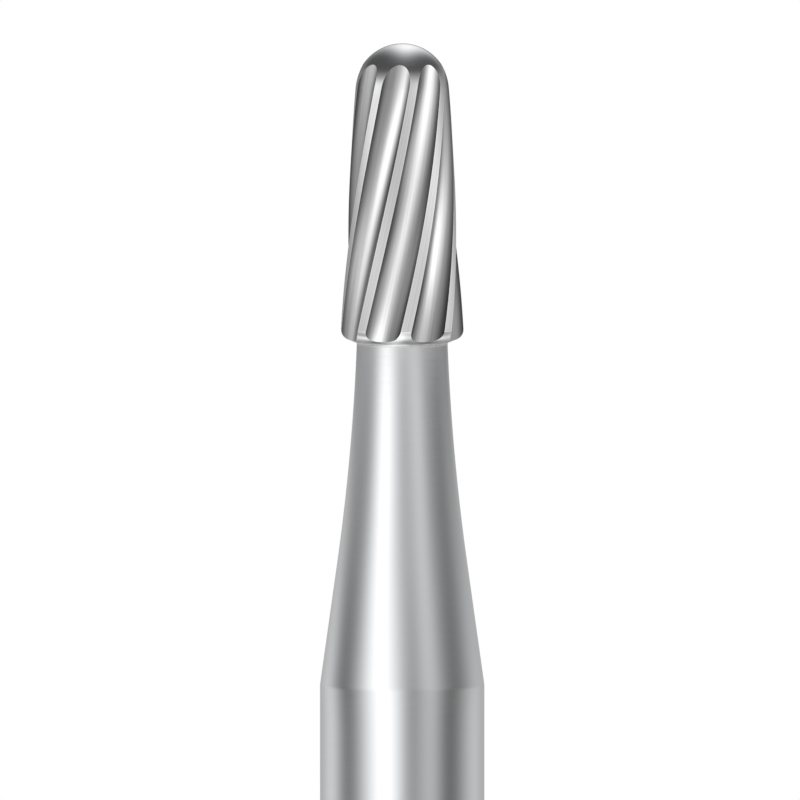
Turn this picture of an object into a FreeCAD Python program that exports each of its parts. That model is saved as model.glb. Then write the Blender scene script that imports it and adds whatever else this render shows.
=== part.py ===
"""Tungsten-carbide dental bur with a friction-grip shank, modelled in millimetres.

The axis of the bur is +Z and the origin is the centre of the shank's end face, so the bur stands
on its shank with the fluted head up. Three pieces are joined for life, one above the other:

    steel_shank    turned and ground shank with its flared neck
    braze_joint    the thin ring of silver braze between the neck and the head
    carbide_head   round-ended taper head with helical flutes and plain lands between them
"""

import FreeCAD
import Part

import math
import os

# Shank and neck
OVERALL_LENGTH = 19.0       # shank end to the top of the dome
SHANK_DIAMETER = 1.60       # friction-grip shank
SHANK_END_CHAMFER = 0.15    # 45 degree chamfer that leads the shank into the chuck
NECK_LENGTH = 3.31          # shank shoulder to the braze
NECK_DIAMETER = 0.885       # where the neck meets the braze
FLARE_LENGTH = 1.20         # straight cone between the shank and the hollow part of the neck
FLARE_HALF_ANGLE = 8.0      # degrees

# Braze between neck and head
BRAZE_THICKNESS = 0.03
BRAZE_FILLET = 0.015        # where the braze has crept out under the head

# Head
HEAD_LENGTH = 2.905         # underside to the top of the dome
HEAD_DIAMETER = 1.20        # across the lands at the widest point, before its edge is rounded
HEAD_HALF_ANGLE = 3.35      # degrees, taper of the lands
BASE_BEVEL_WIDTH = 0.14     # bevel round the underside, measured outwards
BASE_BEVEL_HEIGHT = 0.055
BASE_EDGE_RADIUS = 0.10     # rounding between the bevel and the lands

# Flutes: their section shrinks with the head, so each size is given at the widest point
FLUTE_COUNT = 8
FLUTE_LEAD = 15.4           # height in which a flute goes once round, right-handed
FLUTE_DEPTH = 0.082         # below the lands
LAND_WIDTH = 0.105          # along the circumference
LAND_AZIMUTH = -89.3        # degrees, where a land stands at the underside of the head
FLUTE_TOP_DROP = 0.197      # from the top of the dome down to the ends of the flutes
FLUTE_END_LENGTH = 0.09     # height of the rounded end of a flute

# Solid that cuts one flute
CUTTER_OVERRUN = 0.15       # length below the underside of the head
CONE_SECTION_COUNT = 9      # sections that guide it along the cone
DOME_SECTION_COUNT = 4      # then over the dome
END_SECTION_COUNT = 8       # then through the rounded end

Z = FreeCAD.Vector(0, 0, 1)
ORIGIN = FreeCAD.Vector(0, 0, 0)

# Heights that the sizes above give
HEAD_BASE_Z = OVERALL_LENGTH - HEAD_LENGTH
NECK_TOP_Z = HEAD_BASE_Z - BRAZE_THICKNESS
SHOULDER_Z = NECK_TOP_Z - NECK_LENGTH
WIDEST_Z = HEAD_BASE_Z + BASE_BEVEL_HEIGHT
FLUTE_TOP_Z = OVERALL_LENGTH - FLUTE_TOP_DROP

# Dome, tangent to the cone of the lands
WIDEST_RADIUS = HEAD_DIAMETER / 2
TAPER_SINE = math.sin(math.radians(HEAD_HALF_ANGLE))
TAPER_COSINE = math.cos(math.radians(HEAD_HALF_ANGLE))
CONE_OFFSET = WIDEST_RADIUS * TAPER_COSINE - (OVERALL_LENGTH - WIDEST_Z) * TAPER_SINE
DOME_RADIUS = CONE_OFFSET / (1 - TAPER_SINE)
DOME_CENTRE_Z = OVERALL_LENGTH - DOME_RADIUS
DOME_FOOT_Z = DOME_CENTRE_Z + DOME_RADIUS * TAPER_SINE

# Round section of a flute, through its two edges and its floor
HALF_FLUTE = math.pi / FLUTE_COUNT - LAND_WIDTH / HEAD_DIAMETER
HALF_CHORD = WIDEST_RADIUS * math.sin(HALF_FLUTE)
CHORD_DEPTH = WIDEST_RADIUS * math.cos(HALF_FLUTE) - WIDEST_RADIUS + FLUTE_DEPTH
SECTION_RADIUS = (HALF_CHORD ** 2 + CHORD_DEPTH ** 2) / (2 * CHORD_DEPTH)


def point(radius, height):
    """A point of a turned outline, in the XZ plane."""
    return FreeCAD.Vector(radius, 0, height)


def line(start, end):
    return Part.LineSegment(start, end).toShape()


def turned(edges):
    """A solid of revolution about Z from the edges of a closed outline."""
    face = Part.Face(Part.Wire(edges))
    return face.revolve(ORIGIN, Z, 360)


def tangent_arc(start, direction, end):
    """An arc from start to end that leaves start along direction."""
    chord = end - start
    turn = direction.getAngle(chord)
    side = direction.cross(chord).normalize()
    toward_centre = side.cross(direction).normalize()
    radius = chord.Length / (2 * math.sin(turn))
    centre = start + toward_centre * radius
    half_way = (start - centre).normalize() + (end - centre).normalize()
    return Part.Arc(start, centre + half_way.normalize() * radius, end).toShape()


def make_shank():
    """The shank, chamfered at its end, and the neck that flares into it."""
    radius = SHANK_DIAMETER / 2
    slope = math.tan(math.radians(FLARE_HALF_ANGLE))
    end_centre = point(0, 0)
    end_rim = point(radius - SHANK_END_CHAMFER, 0)
    chamfer_top = point(radius, SHANK_END_CHAMFER)
    shoulder = point(radius, SHOULDER_Z)
    flare_top = point(radius - FLARE_LENGTH * slope, SHOULDER_Z + FLARE_LENGTH)
    neck_rim = point(NECK_DIAMETER / 2, NECK_TOP_Z)
    neck_centre = point(0, NECK_TOP_Z)
    return turned([
        line(end_centre, end_rim),
        line(end_rim, chamfer_top),
        line(chamfer_top, shoulder),
        line(shoulder, flare_top),
        tangent_arc(flare_top, flare_top - shoulder, neck_rim),
        line(neck_rim, neck_centre),
        line(neck_centre, end_centre),
    ])


def make_braze():
    """The braze disc, with a small fillet where it wets the underside of the head."""
    radius = NECK_DIAMETER / 2
    bottom_centre = point(0, NECK_TOP_Z)
    bottom_rim = point(radius, NECK_TOP_Z)
    fillet_foot = point(radius, HEAD_BASE_Z - BRAZE_FILLET)
    fillet_rim = point(radius + BRAZE_FILLET, HEAD_BASE_Z)
    top_centre = point(0, HEAD_BASE_Z)
    return turned([
        line(bottom_centre, bottom_rim),
        line(bottom_rim, fillet_foot),
        tangent_arc(fillet_foot, Z, fillet_rim),
        line(fillet_rim, top_centre),
        line(top_centre, bottom_centre),
    ])


def rounded_corner(before, corner, after, radius):
    """The arc of that radius that rounds a corner of an outline: its start, the arc and its end."""
    back = (before - corner).normalize()
    ahead = (after - corner).normalize()
    half = back.getAngle(ahead) / 2
    start = corner + back * (radius / math.tan(half))
    end = corner + ahead * (radius / math.tan(half))
    inward = (back + ahead).normalize()
    middle = corner + inward * (radius / math.sin(half) - radius)
    return start, Part.Arc(start, middle, end).toShape(), end


def blank_radius(height):
    """Radius of the head before its flutes are ground, as if its cone went on below the bevel."""
    if height > DOME_FOOT_Z:
        return math.sqrt(DOME_RADIUS ** 2 - (height - DOME_CENTRE_Z) ** 2)
    return WIDEST_RADIUS - (height - WIDEST_Z) * TAPER_SINE / TAPER_COSINE


def make_head_blank():
    """The head before its flutes are ground: bevel, tapered side and a tangent dome."""
    widest = point(WIDEST_RADIUS, WIDEST_Z)
    dome_foot = point(DOME_RADIUS * TAPER_COSINE, DOME_FOOT_Z)
    middle = math.radians(45 + HEAD_HALF_ANGLE / 2)
    dome_middle = point(DOME_RADIUS * math.cos(middle), DOME_CENTRE_Z + DOME_RADIUS * math.sin(middle))
    apex = point(0, OVERALL_LENGTH)
    base_centre = point(0, HEAD_BASE_Z)
    base_rim = point(WIDEST_RADIUS - BASE_BEVEL_WIDTH, HEAD_BASE_Z)
    bevel_end, base_rounding, side_start = rounded_corner(base_rim, widest, dome_foot, BASE_EDGE_RADIUS)
    return turned([
        line(base_centre, base_rim),
        line(base_rim, bevel_end),
        base_rounding,
        line(side_start, dome_foot),
        Part.Arc(dome_foot, dome_middle, apex).toShape(),
        line(apex, base_centre),
    ])


def flute_direction(height):
    """The way out from the axis to the middle of the first flute at a height."""
    azimuth = LAND_AZIMUTH + 180 / FLUTE_COUNT + 360 * (height - HEAD_BASE_Z) / FLUTE_LEAD
    return FreeCAD.Vector(math.cos(math.radians(azimuth)), math.sin(math.radians(azimuth)), 0)


def flute_section(height, share):
    """Round section of the first flute at a height, shrunk to a share about the head's surface."""
    surface = blank_radius(height)
    scale = share * surface / WIDEST_RADIUS
    reach = surface + (SECTION_RADIUS - FLUTE_DEPTH) * scale
    centre = flute_direction(height) * reach + Z * height
    return Part.Wire(Part.Circle(centre, Z, SECTION_RADIUS * scale).toShape())


def steps(start, end, count):
    """Heights after start, evenly spaced up to end."""
    return [start + (end - start) * number / count for number in range(1, count + 1)]


def make_flute_cutter():
    """What the wheel grinds away for the first flute, up to the rounded end on the dome."""
    bottom = HEAD_BASE_Z - CUTTER_OVERRUN
    end_start = FLUTE_TOP_Z - FLUTE_END_LENGTH
    heights = [bottom] + steps(bottom, DOME_FOOT_Z, CONE_SECTION_COUNT)
    heights += steps(DOME_FOOT_Z, end_start, DOME_SECTION_COUNT)
    sections = [flute_section(height, 1) for height in heights]
    for number in range(1, END_SECTION_COUNT):
        turn = math.pi / 2 * number / END_SECTION_COUNT
        sections.append(flute_section(end_start + FLUTE_END_LENGTH * math.sin(turn), math.cos(turn)))
    return Part.makeLoft(sections, True, False)


def make_head():
    """The head blank with every flute ground into it."""
    cutter = make_flute_cutter()
    cutters = []
    for number in range(FLUTE_COUNT):
        copy = cutter.copy()
        copy.rotate(ORIGIN, Z, 360 * number / FLUTE_COUNT)
        cutters.append(copy)
    return make_head_blank().cut(cutters)


def export(name, shape):
    """Checks that the shape is one sound solid and writes its STEP file."""
    if not shape.isValid() or len(shape.Solids) != 1:
        raise RuntimeError(name + " is not one valid solid")
    solid = shape.Solids[0]
    solid.exportStep(os.path.join("parts", name + ".step"))
    print(name, "volume %.4f mm3" % solid.Volume)


def main():
    os.makedirs("parts", exist_ok=True)
    export("steel_shank", make_shank())
    export("braze_joint", make_braze())
    export("carbide_head", make_head())


main()
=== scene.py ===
"""Dresses the dental bur: fine meshes of its three pieces, ground metal, a white studio and the camera."""

import cmath
import math

import bmesh
import bpy
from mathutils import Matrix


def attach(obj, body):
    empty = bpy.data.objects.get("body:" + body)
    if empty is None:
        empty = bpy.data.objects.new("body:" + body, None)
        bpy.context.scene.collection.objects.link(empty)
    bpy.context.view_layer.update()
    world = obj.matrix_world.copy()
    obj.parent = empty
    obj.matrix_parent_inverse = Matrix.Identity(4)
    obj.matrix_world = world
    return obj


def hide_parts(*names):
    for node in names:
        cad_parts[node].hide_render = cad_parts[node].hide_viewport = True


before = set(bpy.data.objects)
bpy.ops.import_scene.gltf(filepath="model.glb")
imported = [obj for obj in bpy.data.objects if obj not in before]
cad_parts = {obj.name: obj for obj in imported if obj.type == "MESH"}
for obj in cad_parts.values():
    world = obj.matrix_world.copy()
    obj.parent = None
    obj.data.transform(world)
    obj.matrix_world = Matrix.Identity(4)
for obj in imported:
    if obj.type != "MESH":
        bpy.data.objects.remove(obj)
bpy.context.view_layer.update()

MM = 0.001

# Sizes of the bur in millimetres and degrees, as in the part's source
OVERALL_LENGTH = 19.0
SHANK_DIAMETER = 1.60
SHANK_END_CHAMFER = 0.15
NECK_LENGTH = 3.31
NECK_DIAMETER = 0.885
FLARE_LENGTH = 1.20
FLARE_HALF_ANGLE = 8.0
BRAZE_THICKNESS = 0.03
BRAZE_FILLET = 0.015
HEAD_LENGTH = 2.905
HEAD_DIAMETER = 1.20
HEAD_HALF_ANGLE = 3.35
BASE_BEVEL_WIDTH = 0.14
BASE_BEVEL_HEIGHT = 0.055
BASE_EDGE_RADIUS = 0.10
FLUTE_COUNT = 8
FLUTE_LEAD = 15.4
FLUTE_DEPTH = 0.082
LAND_WIDTH = 0.105
LAND_AZIMUTH = -89.3
FLUTE_TOP_DROP = 0.197

HEAD_BASE_Z = OVERALL_LENGTH - HEAD_LENGTH
NECK_TOP_Z = HEAD_BASE_Z - BRAZE_THICKNESS
SHOULDER_Z = NECK_TOP_Z - NECK_LENGTH
WIDEST_Z = HEAD_BASE_Z + BASE_BEVEL_HEIGHT
FLUTE_TOP_Z = OVERALL_LENGTH - FLUTE_TOP_DROP

# Dome, tangent to the cone of the lands
WIDEST_RADIUS = HEAD_DIAMETER / 2
TAPER = math.radians(HEAD_HALF_ANGLE)
CONE_OFFSET = WIDEST_RADIUS * math.cos(TAPER) - (OVERALL_LENGTH - WIDEST_Z) * math.sin(TAPER)
DOME_RADIUS = CONE_OFFSET / (1 - math.sin(TAPER))
DOME_CENTRE_Z = OVERALL_LENGTH - DOME_RADIUS
DOME_FOOT_Z = DOME_CENTRE_Z + DOME_RADIUS * math.sin(TAPER)

# Round section of a flute, through its two edges and its floor
HALF_FLUTE = math.pi / FLUTE_COUNT - LAND_WIDTH / HEAD_DIAMETER
HALF_CHORD = WIDEST_RADIUS * math.sin(HALF_FLUTE)
CHORD_DEPTH = WIDEST_RADIUS * math.cos(HALF_FLUTE) - WIDEST_RADIUS + FLUTE_DEPTH
SECTION_RADIUS = (HALF_CHORD ** 2 + CHORD_DEPTH ** 2) / (2 * CHORD_DEPTH)

# Edges that are only just broken
CHAMFER_ROUNDING = 0.04
SHOULDER_ROUNDING = 0.25

# Mesh fineness: points round the axis, then steps along each stretch of the outlines
TURNED_SEGMENTS = 256
FLUTE_COLUMNS = 28
LAND_COLUMNS = 7            # on each side of a flute, to the middle of the land
CHAMFER_STEPS = 6
SHANK_STEPS = 60
SHOULDER_STEPS = 8
FLARE_STEPS = 12
NECK_STEPS = 48
FILLET_STEPS = 6
BEVEL_STEPS = 14
BASE_EDGE_STEPS = 20
SIDE_STEPS = 80
DOME_STEPS = 44             # up to the ends of the flutes
CAP_STEPS = 24              # above them
TURNED_SHARP_ANGLE = 25.0   # degrees between faces from which an edge stays sharp
HEAD_SHARP_ANGLE = 20.0

# Ground steel: fine rings round the axis, in cycles for each metre across and along it
STEEL_COLOUR = (0.62, 0.625, 0.635, 1)
STEEL_RINGS = (300, 300, 60000)
STEEL_ROUGHNESS = [(0.3, 0.14), (0.7, 0.20)]
STEEL_BUMP = {"Strength": 0.15, "Distance": 1e-6}

# Braze: a fine grain of two silver greys
BRAZE_GRAIN = 30.0          # in each mm
BRAZE_SHADES = [(0.3, (0.60, 0.60, 0.595)), (0.7, (0.70, 0.70, 0.69))]
BRAZE_ROUGHNESS = 0.4

# Fine streaks along the helix: how many across half a flute, and how far they lighten and darken the metal
FLUTE_STREAKS, FLUTE_STREAK_DEPTH = 9.0, 0.10
LAND_STREAKS, LAND_STREAK_DEPTH = 60.0, 0.08
STREAK_CHANGE = 3.0         # in each mm from side to side, so that no two flutes are alike

# Painted highlight: a bright band painted into each flute's colour, darker to both sides of it. The height
# where it runs along the middle of the floor, and how far across it moves for each mm of height. Places
# across count in half widths of the flute.
BAND_MIDDLE_Z = 17.45
BAND_DRIFT = 0.28
BAND_SCALE = 0.35           # length on the ramp of half a flute, with the middle of the band at 0.5
# Painted highlight in the middle of the band, painted shade to both sides
PAINTED_BAND_SHADES = [(0.08, 0.20), (0.25, 0.34), (0.36, 0.60), (0.45, 0.82), (0.5, 0.88),
               (0.56, 0.81), (0.66, 0.57), (0.76, 0.29), (0.92, 0.14)]
# Painted shade, darker towards the two edges of each flute
RIM_PAINTED_SHADE = [(0.6, 1.0), (0.8, 0.78), (0.92, 0.46), (1.0, 0.28)]
FLUTE_ROUGHNESS = 0.28

# Plain lands, by the distance from their edge, and the polished dome that they run into
LAND_SHADES = [(0.02, 0.76), (0.09, 0.68), (0.28, 0.64)]
LAND_ROUGHNESS = 0.42
DOME_COLOUR = (0.6, 0.605, 0.62, 1)
DOME_ROUGHNESS = 0.22
POLISH_START_Z = DOME_FOOT_Z - 0.15

# Underside of the head, from its flat face up past the rounded edge: painted shade low down, painted
# highlight on the rounded edge
BASE_PAINTED_SHADING = [(0.1, 0.5), (0.18, 0.6), (0.3, 0.72), (0.48, 0.85), (0.6, 0.95)]
BASE_ROUGHNESS = 0.28

# Camera and frame of the photograph
CAMERA_ELEVATION = 3.2
CAMERA_LENS = 900.0
CAMERA_SENSOR = 36.0
CAMERA_CLIP = (0.001, 10.0)
FRAME_WIDTH = 7.78
FRAME_CENTRE = (-0.0215, 0.0, 15.53)

# The studio that the metal sees: soft cards that add or take light, from their lower to their upper end.
# Azimuth is in degrees from the camera, positive to its right. Each pair is (lower end, upper end).
STUDIO_LEVEL = 0.54
STUDIO_CARDS = [
    # azimuth, width, brightness
    ((-22, -38), (29, 25), (1.24, 1.25)),       # main softbox
    ((-83, -93), (25, 34), (-0.51, -0.03)),     # left flag
    ((-104, -152), (28, 26), (0.56, -0.17)),    # left side light
    ((7, 17), (17, 14), (-0.39, 0.11)),         # dark gap beside the main softbox
    ((40, 34), (17, 18), (0.28, 0.34)),         # right front light
    ((64, 90), (25, 30), (-0.34, -0.21)),       # right flag
    ((113, 140), (24, 24), (0.26, -0.19)),      # right side light
    ((180, 180), (12, 12), (-0.3, -0.3)),       # dark gap behind, seen in the very edge of the metal
]
CARD_ENDS = (12.0, 16.0)    # heights of the two ends

# The ring of light round the head, above the cards
HEAD_LIGHT_LEVEL = 0.40
HEAD_LIGHT_CARDS = [
    ((-92, -62), (28, 30), (0.55, 1.30)),
    ((0, 46), (28, 40), (0.80, 0.66)),
    ((92, 68), (34, 26), (1.40, 0.55)),
    ((180, 180), (45, 45), (-0.22, -0.22)),
]
HEAD_LIGHT_ENDS = (16.9, 18.5)
HEAD_LIGHT_START = (16.2, 16.55)    # heights between which the cards give way to it

# The tent that carries the near cards: its lower and upper height, and where it fades in and out
TENT_RADIUS = 6.0
TENT_SPAN = (10.0, 22.0)
TENT_SIDES = 96
TENT_FADE_IN = (10.2, 10.9)
TENT_FADE_OUT = (21.5, 19.6)

# Beyond the tent the same cards go on far away. Heights here are those of a direction, from -1 to 1.
LOW_LIGHT_SPAN = (-0.3, -0.75)
LOW_LIGHT_SHARE = 1.4       # brightness of the cards below that, which the underside of the head sees
TOP_START = (0.1, 0.2)      # where they give way to the light above

# Above the cards it gets darker with height, most of all behind the bur
TOP_LEVEL = 0.95
TOP_CARDS = [((180, 180), (60, 60), (-0.75, -0.75))]
TOP_AMBIENT = 0.11
TOP_TILT = 0.25             # how much lower the light ends behind the bur than before it
TOP_FADE = {"From Min": -0.035, "From Max": 0.61, "To Min": 1.1, "To Max": 0.0}

# The softbox high up behind the bur, in degrees: from the camera's side over the top, and to the right
TOP_LIGHT_TURN = 137.0
TOP_LIGHT_LENGTH = 38.0
TOP_LIGHT_SIDE = 4.0
TOP_LIGHT_WIDTH = 17.0
TOP_LIGHT_STRENGTH = 1.5

# The floor, which fades from a matte surface to plain white further from the bur
FLOOR_REACH = 600.0
FLOOR_FADE = (20.0, 60.0)
FLOOR_COLOUR = (0.95, 0.95, 0.95, 1)


# Outlines are lists of complex numbers, radius + height * 1j, in millimetres

def arc(start, direction, end, count):
    """Points after start of the arc that leaves it along direction and reaches end."""
    chord = end - start
    turn = cmath.phase(chord / direction)
    points = []
    for step in range(1, count + 1):
        part = turn * step / count
        reach = abs(chord) * math.sin(part) / math.sin(turn)
        points.append(start + cmath.rect(reach, cmath.phase(direction) + part))
    return points


def rounding(before, corner, after, radius, count):
    """Points of the arc that rounds a corner between two straight runs."""
    back = (before - corner) / abs(before - corner)
    ahead = (after - corner) / abs(after - corner)
    half = abs(cmath.phase(ahead / back)) / 2
    reach = radius / math.tan(half)
    start = corner + back * reach
    return [start] + arc(start, -back, corner + ahead * reach, count)


def straight(start, end, count):
    """Points after start on the straight run to end."""
    return [start + (end - start) * step / count for step in range(1, count + 1)]


def around(radius, turn, height):
    """A point at a radius and an angle about Z, from millimetres to metres."""
    return (radius * math.cos(turn) * MM, radius * math.sin(turn) * MM, height * MM)


def ring(radius, height, count):
    """Points evenly spaced round Z."""
    return [around(radius, 2 * math.pi * step / count, height) for step in range(count)]


def linked_object(name, data):
    obj = bpy.data.objects.new(name, data)
    bpy.context.scene.collection.objects.link(obj)
    return obj


def mesh_object(name, points, faces):
    mesh = bpy.data.meshes.new(name)
    mesh.from_pydata(points, [], faces)
    return linked_object(name, mesh)


def smooth(obj, angle):
    """Smooth shading, with edges sharper than angle kept."""
    obj.data.shade_smooth()
    obj.data.set_sharp_from_angle(angle=math.radians(angle))


def turned(name, outline):
    """A closed body turned about Z from an outline that starts and ends on the axis."""
    count = TURNED_SEGMENTS
    points = [(0, 0, outline[0].imag * MM), (0, 0, outline[-1].imag * MM)]
    for spot in outline[1:-1]:
        points += ring(spot.real, spot.imag, count)
    faces = []
    top = len(points) - count
    for step in range(count):
        after = (step + 1) % count
        faces.append((0, 2 + after, 2 + step))
        faces.append((1, top + step, top + after))
        for low in range(2, top, count):
            faces.append((low + step, low + after, low + count + after, low + count + step))
    return mesh_object(name, points, faces)


def shank_outline():
    radius = SHANK_DIAMETER / 2
    end_rim = radius - SHANK_END_CHAMFER
    chamfer_top = radius + SHANK_END_CHAMFER * 1j
    shoulder = radius + SHOULDER_Z * 1j
    flare_top = shoulder + FLARE_LENGTH * (1j - math.tan(math.radians(FLARE_HALF_ANGLE)))
    neck_rim = NECK_DIAMETER / 2 + NECK_TOP_Z * 1j
    outline = [0j]
    outline += rounding(0j, end_rim, chamfer_top, CHAMFER_ROUNDING, CHAMFER_STEPS)
    outline += rounding(end_rim, chamfer_top, shoulder, CHAMFER_ROUNDING, CHAMFER_STEPS)
    outline += straight(outline[-1], shoulder - SHOULDER_ROUNDING * 1j, SHANK_STEPS)
    outline += rounding(chamfer_top, shoulder, flare_top, SHOULDER_ROUNDING, SHOULDER_STEPS)
    outline += straight(outline[-1], flare_top, FLARE_STEPS)
    outline += arc(flare_top, flare_top - shoulder, neck_rim, NECK_STEPS)
    outline.append(NECK_TOP_Z * 1j)
    return outline


def braze_outline():
    radius = NECK_DIAMETER / 2
    foot = radius + (HEAD_BASE_Z - BRAZE_FILLET) * 1j
    rim = radius + BRAZE_FILLET + HEAD_BASE_Z * 1j
    outline = [NECK_TOP_Z * 1j, radius + NECK_TOP_Z * 1j, foot]
    outline += arc(foot, 1j, rim, FILLET_STEPS)
    outline.append(HEAD_BASE_Z * 1j)
    return outline


def blank_radius(height):
    """Radius of the head before its flutes are ground, as if its cone went on below the bevel."""
    if height > DOME_FOOT_Z:
        return math.sqrt(max(0, DOME_RADIUS ** 2 - (height - DOME_CENTRE_Z) ** 2))
    return WIDEST_RADIUS - (height - WIDEST_Z) * math.tan(TAPER)


def head_outline():
    """Rows of the head from underside to apex, each with the surface it belongs to between the flutes."""
    widest = WIDEST_RADIUS + WIDEST_Z * 1j
    dome_foot = DOME_CENTRE_Z * 1j + cmath.rect(DOME_RADIUS, TAPER)
    base_rim = WIDEST_RADIUS - BASE_BEVEL_WIDTH + HEAD_BASE_Z * 1j
    edge = rounding(base_rim, widest, dome_foot, BASE_EDGE_RADIUS, BASE_EDGE_STEPS)
    rows = [(HEAD_BASE_Z * 1j, "base"), (base_rim, "base")]
    rows += [(spot, "base") for spot in straight(base_rim, edge[0], BEVEL_STEPS)]
    rows += [(spot, "base") for spot in edge[1:]]
    rows += [(spot, "side") for spot in straight(edge[-1], dome_foot, SIDE_STEPS)]
    climb = FLUTE_TOP_Z - DOME_FOOT_Z
    for step in range(1, DOME_STEPS + 1):
        height = DOME_FOOT_Z + climb * math.sin(math.pi / 2 * step / DOME_STEPS)
        rows.append((blank_radius(height) + height * 1j, "dome"))
    run_out = math.asin((FLUTE_TOP_Z - DOME_CENTRE_Z) / DOME_RADIUS)
    for step in range(1, CAP_STEPS + 1):
        turn = run_out + (math.pi / 2 - run_out) * step / CAP_STEPS
        rows.append((DOME_CENTRE_Z * 1j + cmath.rect(DOME_RADIUS, turn), "dome"))
    return rows


def flute_section(height):
    """The round section of a flute at a height: radius, and distance of its centre from the axis."""
    scale = 1 - (height - WIDEST_Z) * math.tan(TAPER) / WIDEST_RADIUS
    floor = (WIDEST_RADIUS - FLUTE_DEPTH) * scale
    if height > DOME_FOOT_Z:
        foot = (WIDEST_RADIUS - FLUTE_DEPTH) * blank_radius(DOME_FOOT_Z) / WIDEST_RADIUS
        climb = (height - DOME_FOOT_Z) / (FLUTE_TOP_Z - DOME_FOOT_Z)
        floor = foot + (blank_radius(FLUTE_TOP_Z) - foot) * climb
    return SECTION_RADIUS * scale, SECTION_RADIUS * scale + floor


def flute_edge(spot):
    """Half the angle that a flute takes up in a row, nothing where the row lies inside its floor."""
    radius, reach = flute_section(spot.imag)
    if spot.real <= reach - radius:
        return 0.0
    cosine = (reach ** 2 + spot.real ** 2 - radius ** 2) / (2 * reach * spot.real)
    return min(HALF_FLUTE, math.acos(cosine))


def ground_radius(spot, angle):
    """Radius of a row at an angle from the middle of a flute, inside its edges."""
    radius, reach = flute_section(spot.imag)
    depth = math.sqrt(max(0, radius ** 2 - (reach * math.sin(angle)) ** 2))
    return min(spot.real, reach * math.cos(angle) - depth)


def head_row(spot):
    """The points of one row: (angle from the flute's middle, radius) for every column of one pitch."""
    edge = flute_edge(spot)
    half_pitch = math.pi / FLUTE_COUNT
    columns = []
    for step in range(LAND_COLUMNS):
        columns.append((-half_pitch + (half_pitch - edge) * step / LAND_COLUMNS, spot.real))
    for step in range(FLUTE_COLUMNS + 1):
        angle = edge * (2 * step / FLUTE_COLUMNS - 1)
        columns.append((angle, ground_radius(spot, angle) if edge else spot.real))
    for step in range(1, LAND_COLUMNS):
        columns.append((edge + (half_pitch - edge) * step / LAND_COLUMNS, spot.real))
    return columns


def head_points(rows):
    """Points row by row, then the two poles, each with its place across the flute and its height."""
    points = []
    places = []
    for spot, _ in rows[1:-1]:
        columns = head_row(spot)
        middle = math.radians(LAND_AZIMUTH + 180 / FLUTE_COUNT)
        middle += 2 * math.pi * (spot.imag - HEAD_BASE_Z) / FLUTE_LEAD
        for flute in range(FLUTE_COUNT):
            for angle, radius in columns:
                points.append(around(radius, middle + angle + 2 * math.pi * flute / FLUTE_COUNT, spot.imag))
                places.append((angle / HALF_FLUTE, spot.imag))
    for pole, _ in (rows[0], rows[-1]):
        points.append(around(0, 0, pole.imag))
        places.append((0, pole.imag))
    return points, places


def head_faces(rows):
    """Faces column by column, and the way in which each one is ground."""
    per_pitch = 2 * LAND_COLUMNS + FLUTE_COLUMNS
    width = per_pitch * FLUTE_COUNT
    bands = []
    for (below, _), (above, kind) in zip(rows[1:-2], rows[2:-1]):
        bands.append(("flute" if flute_edge(below) + flute_edge(above) > 0 else kind, kind))
    last = len(bands) * width
    low_pole = last + width
    faces = []
    kinds = []
    for column in range(width):
        after = (column + 1) % width
        in_flute = LAND_COLUMNS <= column % per_pitch < LAND_COLUMNS + FLUTE_COLUMNS
        faces.append((low_pole, after, column))
        kinds.append("base")
        for number, (flute_kind, land_kind) in enumerate(bands):
            low = number * width
            faces.append((low + column, low + after, low + width + after, low + width + column))
            kinds.append(flute_kind if in_flute else land_kind)
        faces.append((low_pole + 1, last + column, last + after))
        kinds.append("dome")
    return faces, kinds


def weld(mesh):
    """Joins the columns that meet where a flute has run out."""
    work = bmesh.new()
    work.from_mesh(mesh)
    bmesh.ops.remove_doubles(work, verts=work.verts, dist=1e-8)
    work.to_mesh(mesh)
    work.free()


def head_object(materials):
    """The head as one closed mesh, with a material for each way of grinding. Its UV map holds the places."""
    rows = head_outline()
    points, places = head_points(rows)
    faces, kinds = head_faces(rows)
    obj = mesh_object("head", points, faces)
    mesh = obj.data
    names = list(materials)
    for name in names:
        mesh.materials.append(materials[name])
    for face, kind in zip(mesh.polygons, kinds):
        face.material_index = names.index(kind)
    layer = mesh.uv_layers.new(name="grind")
    for loop in mesh.loops:
        layer.uv[loop.index].vector = places[loop.vertex_index]
    weld(mesh)
    return obj


# Materials

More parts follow.
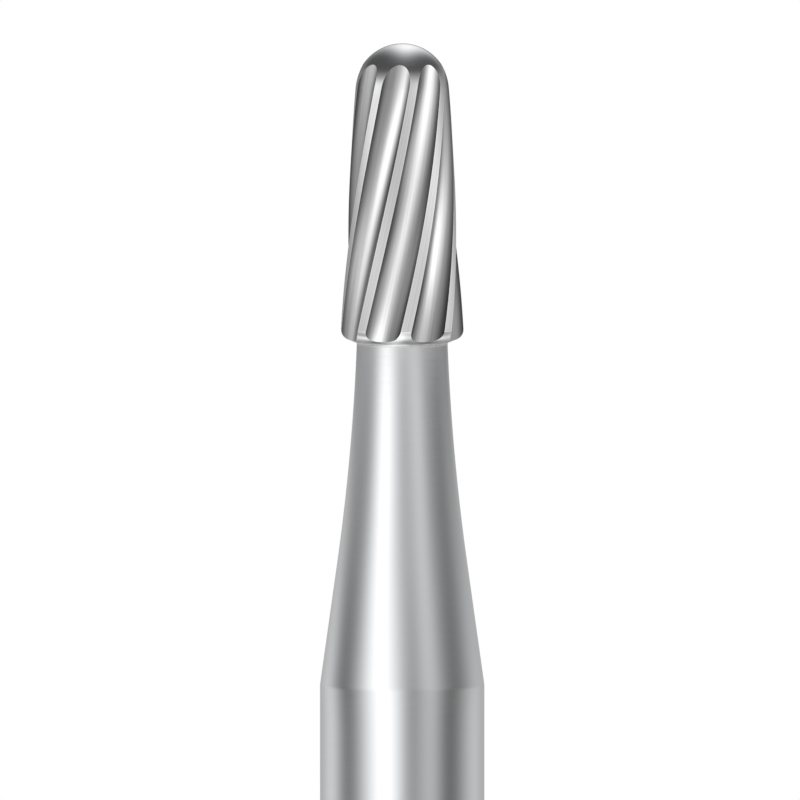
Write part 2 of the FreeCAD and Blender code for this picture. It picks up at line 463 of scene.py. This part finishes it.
class Nodes:
    """Short calls to build a node tree."""

    def __init__(self, tree):
        self.tree = tree
        tree.nodes.clear()

    def add(self, kind, inputs=(), **settings):
        node = self.tree.nodes.new(kind)
        for name, value in settings.items():
            setattr(node, name, value)
        for slot, value in dict(inputs).items():
            if isinstance(value, bpy.types.NodeSocket):
                self.tree.links.new(value, node.inputs[slot])
            else:
                node.inputs[slot].default_value = value
        return node

    def value(self, kind, inputs=(), **settings):
        """The first output of a new node."""
        return self.add(kind, inputs, **settings).outputs[0]

    def math(self, operation, *values):
        return self.value("ShaderNodeMath", dict(enumerate(values)), operation=operation)

    def place(self):
        """The point on the object, in metres."""
        return self.add("ShaderNodeTexCoord").outputs["Object"]

    def parts(self, vector):
        """X, Y and Z of a vector."""
        return tuple(self.add("ShaderNodeSeparateXYZ", {0: vector}).outputs)

    def rise(self, value, start, end, **settings):
        """From 0 at start to 1 at end, evenly."""
        inputs = {"Value": value, "From Min": start, "From Max": end}
        return self.value("ShaderNodeMapRange", inputs, **settings)

    def fade(self, value, start, end):
        """From 0 at start to 1 at end, softly."""
        return self.rise(value, start, end, interpolation_type="SMOOTHSTEP")

    def mix(self, factor, first, second):
        """From the first number to the second."""
        return self.value("ShaderNodeMix", {0: factor, 2: first, 3: second})

    def mix_colour(self, factor, first, second, blend_type="MIX"):
        """From the first colour to the second, or to what the two give in another blend."""
        inputs = {0: factor, 6: first, 7: second}
        return self.add("ShaderNodeMix", inputs, data_type="RGBA", blend_type=blend_type).outputs[2]

    def times(self, first, second):
        """One colour multiplied by another."""
        return self.mix_colour(1.0, first, second, "MULTIPLY")

    def noise(self, place, scale=1.0, detail=3.0):
        """Noise that lies mostly between 0.25 and 0.75."""
        return self.value("ShaderNodeTexNoise", {"Vector": place, "Scale": scale, "Detail": detail})

    def ramp(self, value, stops):
        """A colour ramp over stops of (position, grey or colour)."""
        node = self.add("ShaderNodeValToRGB", {0: value})
        elements = node.color_ramp.elements
        while len(elements) < len(stops):
            elements.new(1.0)
        for element, (position, shade) in zip(elements, stops):
            element.position = position
            element.color = (shade, shade, shade, 1) if isinstance(shade, float) else (*shade, 1)
        return node.outputs[0]


def new_material(name):
    material = bpy.data.materials.new(name)
    material.use_nodes = True
    return material, Nodes(material.node_tree)


def finish_metal(nodes, colour, roughness, normal=None):
    inputs = {"Metallic": 1.0, "Base Color": colour, "Roughness": roughness}
    if normal:
        inputs["Normal"] = normal
    nodes.add("ShaderNodeOutputMaterial", {"Surface": nodes.value("ShaderNodeBsdfPrincipled", inputs)})


def steel():
    """Steel ground round its axis."""
    material, nodes = new_material("ground steel")
    rings = nodes.value("ShaderNodeMapping", {"Vector": nodes.place(), "Scale": STEEL_RINGS})
    fine = nodes.noise(rings)
    bump = nodes.value("ShaderNodeBump", {"Height": fine, **STEEL_BUMP})
    finish_metal(nodes, STEEL_COLOUR, nodes.ramp(fine, STEEL_ROUGHNESS), bump)
    return material


def braze():
    """Silver braze with a fine grain."""
    material, nodes = new_material("silver braze")
    grain = nodes.noise(nodes.place(), BRAZE_GRAIN / MM, 2.0)
    finish_metal(nodes, nodes.ramp(grain, BRAZE_SHADES), BRAZE_ROUGHNESS)
    return material


def grind_place(nodes):
    """Place across the flute and height in mm, from the head's UV map."""
    across, height, _ = nodes.parts(nodes.value("ShaderNodeUVMap", uv_map="grind"))
    return across, height


def streaked(nodes, shade, fineness, depth):
    """The shade with fine streaks along the helix, lighter and darker by up to depth."""
    across, height = grind_place(nodes)
    side = nodes.parts(nodes.place())[0]
    place = nodes.value("ShaderNodeCombineXYZ", {
        0: nodes.math("MULTIPLY", across, fineness),
        1: height,
        2: nodes.math("MULTIPLY", side, STREAK_CHANGE / MM),
    })
    swing = nodes.math("MULTIPLY_ADD", nodes.noise(place), 4 * depth, 1 - 2 * depth)
    return nodes.times(shade, swing)


def flute_metal():
    """A painted highlight band that crosses the flute slowly as it climbs, with painted shade towards the
    two edges.
    """
    material, nodes = new_material("ground flute")
    across, height = grind_place(nodes)
    climb = nodes.math("SUBTRACT", height, BAND_MIDDLE_Z)
    off_band = nodes.math("SUBTRACT", across, nodes.math("MULTIPLY", climb, BAND_DRIFT))
    # Painted highlight: the bright band painted into the colour
    band = nodes.ramp(nodes.math("MULTIPLY_ADD", off_band, BAND_SCALE, 0.5), PAINTED_BAND_SHADES)
    # Painted shade towards the flute's edges
    rim = nodes.ramp(nodes.math("ABSOLUTE", across), RIM_PAINTED_SHADE)
    shade = streaked(nodes, nodes.times(band, rim), FLUTE_STREAKS, FLUTE_STREAK_DEPTH)
    finish_metal(nodes, shade, FLUTE_ROUGHNESS)
    return material


def land_metal():
    """The plain lands, brighter at their two edges, and the polished dome above them."""
    material, nodes = new_material("ground land and dome")
    across, height = grind_place(nodes)
    from_edge = nodes.math("SUBTRACT", nodes.math("ABSOLUTE", across), 1.0)
    land = streaked(nodes, nodes.ramp(from_edge, LAND_SHADES), LAND_STREAKS, LAND_STREAK_DEPTH)
    polish = nodes.fade(height, POLISH_START_Z, FLUTE_TOP_Z)
    shade = nodes.mix_colour(polish, land, DOME_COLOUR)
    finish_metal(nodes, shade, nodes.mix(polish, LAND_ROUGHNESS, DOME_ROUGHNESS))
    return material


def base_metal():
    """The underside: a painted highlight where its edge is rounded, painted shade darker on the bevel."""
    material, nodes = new_material("ground underside")
    height = grind_place(nodes)[1]
    rise = nodes.rise(height, HEAD_BASE_Z, WIDEST_Z + BASE_EDGE_RADIUS)
    # Painted shade towards the flat face, painted highlight on the rounded edge
    finish_metal(nodes, nodes.ramp(rise, BASE_PAINTED_SHADING), BASE_ROUGHNESS)
    return material


# Studio

def squared_share(nodes, offset, width):
    """The square of how many widths an offset is."""
    share = nodes.math("DIVIDE", offset, width)
    return nodes.math("MULTIPLY", share, share)


def falloff(nodes, squares):
    """A soft light's share of its full brightness, 1 in its middle."""
    return nodes.math("EXPONENT", nodes.math("MULTIPLY", squares, -1.0))


def card_light(nodes, level, cards, azimuth, rise):
    """Brightness towards an azimuth in degrees, where rise runs from 0 to 1 up the cards."""
    total = level
    for pairs in cards:
        centre, width, strength = [nodes.math("MULTIPLY_ADD", rise, high - low, low) for low, high in pairs]
        offset = nodes.math("WRAP", nodes.math("SUBTRACT", azimuth, centre), 180.0, -180.0)
        share = falloff(nodes, squared_share(nodes, offset, width))
        total = nodes.math("MULTIPLY_ADD", strength, share, total)
    return total


def azimuth_of(nodes, side, depth):
    """Degrees round Z from the camera's side."""
    return nodes.math("DEGREES", nodes.math("ARCTAN2", side, nodes.math("MULTIPLY", depth, -1.0)))


def top_light(nodes, side, depth, height):
    """The ring of light fading out above, and one softbox high up behind the bur."""
    ring_light = card_light(nodes, TOP_LEVEL, TOP_CARDS, azimuth_of(nodes, side, depth), 0.0)
    tilted = nodes.math("MULTIPLY_ADD", depth, TOP_TILT, height)
    fading = nodes.value("ShaderNodeMapRange", {"Value": tilted, **TOP_FADE})
    ring_light = nodes.math("MULTIPLY_ADD", ring_light, fading, TOP_AMBIENT)
    over = nodes.math("DEGREES", nodes.math("ARCTAN2", height, nodes.math("MULTIPLY", depth, -1.0)))
    aside = nodes.math("DEGREES", nodes.math("ARCSINE", side))
    along = squared_share(nodes, nodes.math("SUBTRACT", over, TOP_LIGHT_TURN), TOP_LIGHT_LENGTH)
    across = squared_share(nodes, nodes.math("SUBTRACT", aside, TOP_LIGHT_SIDE), TOP_LIGHT_WIDTH)
    glow = falloff(nodes, nodes.math("ADD", along, across))
    return nodes.math("MULTIPLY_ADD", glow, TOP_LIGHT_STRENGTH, ring_light)


def make_world():
    """White for the camera, soft white light for the floor, and a studio of soft cards for the metal."""
    world = bpy.data.worlds.new("studio")
    bpy.context.scene.world = world
    world.use_nodes = True
    world.cycles.sampling_method = "NONE"
    nodes = Nodes(world.node_tree)
    side, depth, height = nodes.parts(nodes.add("ShaderNodeTexCoord").outputs["Generated"])
    cards = card_light(nodes, STUDIO_LEVEL, STUDIO_CARDS, azimuth_of(nodes, side, depth), 0.0)
    low_cards = nodes.math("MULTIPLY", cards, LOW_LIGHT_SHARE)
    seen = nodes.mix(nodes.fade(height, *TOP_START), cards, top_light(nodes, side, depth, height))
    seen = nodes.mix(nodes.fade(height, *LOW_LIGHT_SPAN), seen, low_cards)
    rays = nodes.add("ShaderNodeLightPath")
    strength = nodes.mix(rays.outputs["Is Glossy Ray"], 1.0, seen)
    light = nodes.value("ShaderNodeBackground", {"Color": (1, 1, 1, 1), "Strength": strength})
    nodes.add("ShaderNodeOutputWorld", {"Surface": light})


def tent_material():
    """The near cards, clear where they fade into the far ones."""
    material, nodes = new_material("studio cards")
    side, depth, up = nodes.parts(nodes.place())
    azimuth = azimuth_of(nodes, side, depth)
    height = nodes.math("DIVIDE", up, MM)
    card_rise = nodes.rise(height, *CARD_ENDS)
    cards = card_light(nodes, STUDIO_LEVEL, STUDIO_CARDS, azimuth, card_rise)
    head_rise = nodes.rise(height, *HEAD_LIGHT_ENDS)
    head = card_light(nodes, HEAD_LIGHT_LEVEL, HEAD_LIGHT_CARDS, azimuth, head_rise)
    seen = nodes.mix(nodes.fade(height, *HEAD_LIGHT_START), cards, head)
    shown = nodes.math("MULTIPLY", nodes.fade(height, *TENT_FADE_IN), nodes.fade(height, *TENT_FADE_OUT))
    clear = nodes.value("ShaderNodeBsdfTransparent")
    light = nodes.value("ShaderNodeEmission", {"Strength": seen})
    mixed = nodes.value("ShaderNodeMixShader", {0: shown, 1: clear, 2: light})
    nodes.add("ShaderNodeOutputMaterial", {"Surface": mixed})
    material.cycles.emission_sampling = "NONE"
    return material


def make_tent():
    """The near cards round the neck and head, which only the metal sees."""
    low, high = TENT_SPAN
    points = ring(TENT_RADIUS, low, TENT_SIDES) + ring(TENT_RADIUS, high, TENT_SIDES)
    faces = []
    for step in range(TENT_SIDES):
        after = (step + 1) % TENT_SIDES
        faces.append((step, after, TENT_SIDES + after, TENT_SIDES + step))
    tent = mesh_object("studio_tent", points, faces)
    tent.data.materials.append(tent_material())
    tent.visible_camera = False
    tent.visible_diffuse = False
    tent.visible_shadow = False


def make_floor():
    """A pale floor that keeps the bur's shadow near it and is white further out."""
    reach = FLOOR_REACH * MM
    corners = [(-reach, -reach, 0), (reach, -reach, 0), (reach, reach, 0), (-reach, reach, 0)]
    floor = mesh_object("floor", corners, [(0, 1, 2, 3)])
    material, nodes = new_material("pale floor")
    distance = nodes.add("ShaderNodeVectorMath", {0: nodes.place()}, operation="LENGTH").outputs["Value"]
    far = nodes.fade(distance, FLOOR_FADE[0] * MM, FLOOR_FADE[1] * MM)
    matte = nodes.value("ShaderNodeBsdfDiffuse", {"Color": FLOOR_COLOUR})
    white = nodes.value("ShaderNodeEmission", {"Strength": 1.0})
    mixed = nodes.value("ShaderNodeMixShader", {0: far, 1: matte, 2: white})
    nodes.add("ShaderNodeOutputMaterial", {"Surface": mixed})
    floor.data.materials.append(material)
    floor.visible_glossy = False


def make_camera():
    camera = bpy.data.cameras.new("camera")
    camera.lens = CAMERA_LENS
    camera.sensor_width = CAMERA_SENSOR
    camera.clip_start, camera.clip_end = CAMERA_CLIP
    obj = linked_object("camera", camera)
    distance = FRAME_WIDTH * CAMERA_LENS / CAMERA_SENSOR
    rise = math.radians(CAMERA_ELEVATION)
    x, y, z = FRAME_CENTRE
    obj.location = (x * MM, (y - distance * math.cos(rise)) * MM, (z + distance * math.sin(rise)) * MM)
    obj.rotation_euler = (math.pi / 2 - rise, 0, 0)
    bpy.context.scene.camera = obj


def dress():
    """Puts the fine pieces in the place of the CAD nodes."""
    shank = turned("shank", shank_outline())
    shank.data.materials.append(steel())
    smooth(shank, TURNED_SHARP_ANGLE)
    joint = turned("braze_ring", braze_outline())
    joint.data.materials.append(braze())
    smooth(joint, TURNED_SHARP_ANGLE)
    land = land_metal()
    head = head_object({"flute": flute_metal(), "side": land, "dome": land, "base": base_metal()})
    smooth(head, HEAD_SHARP_ANGLE)
    pieces = [
        (shank, "steel_shank", "shank_steel"),
        (joint, "braze_joint", "silver_braze"),
        (head, "carbide_head", "tungsten_carbide"),
    ]
    for piece, node, slot in pieces:
        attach(piece, "root")
        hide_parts(node)


make_camera()
make_world()
make_floor()
make_tent()
dress()
bpy.context.scene.view_settings.view_transform = "Standard"
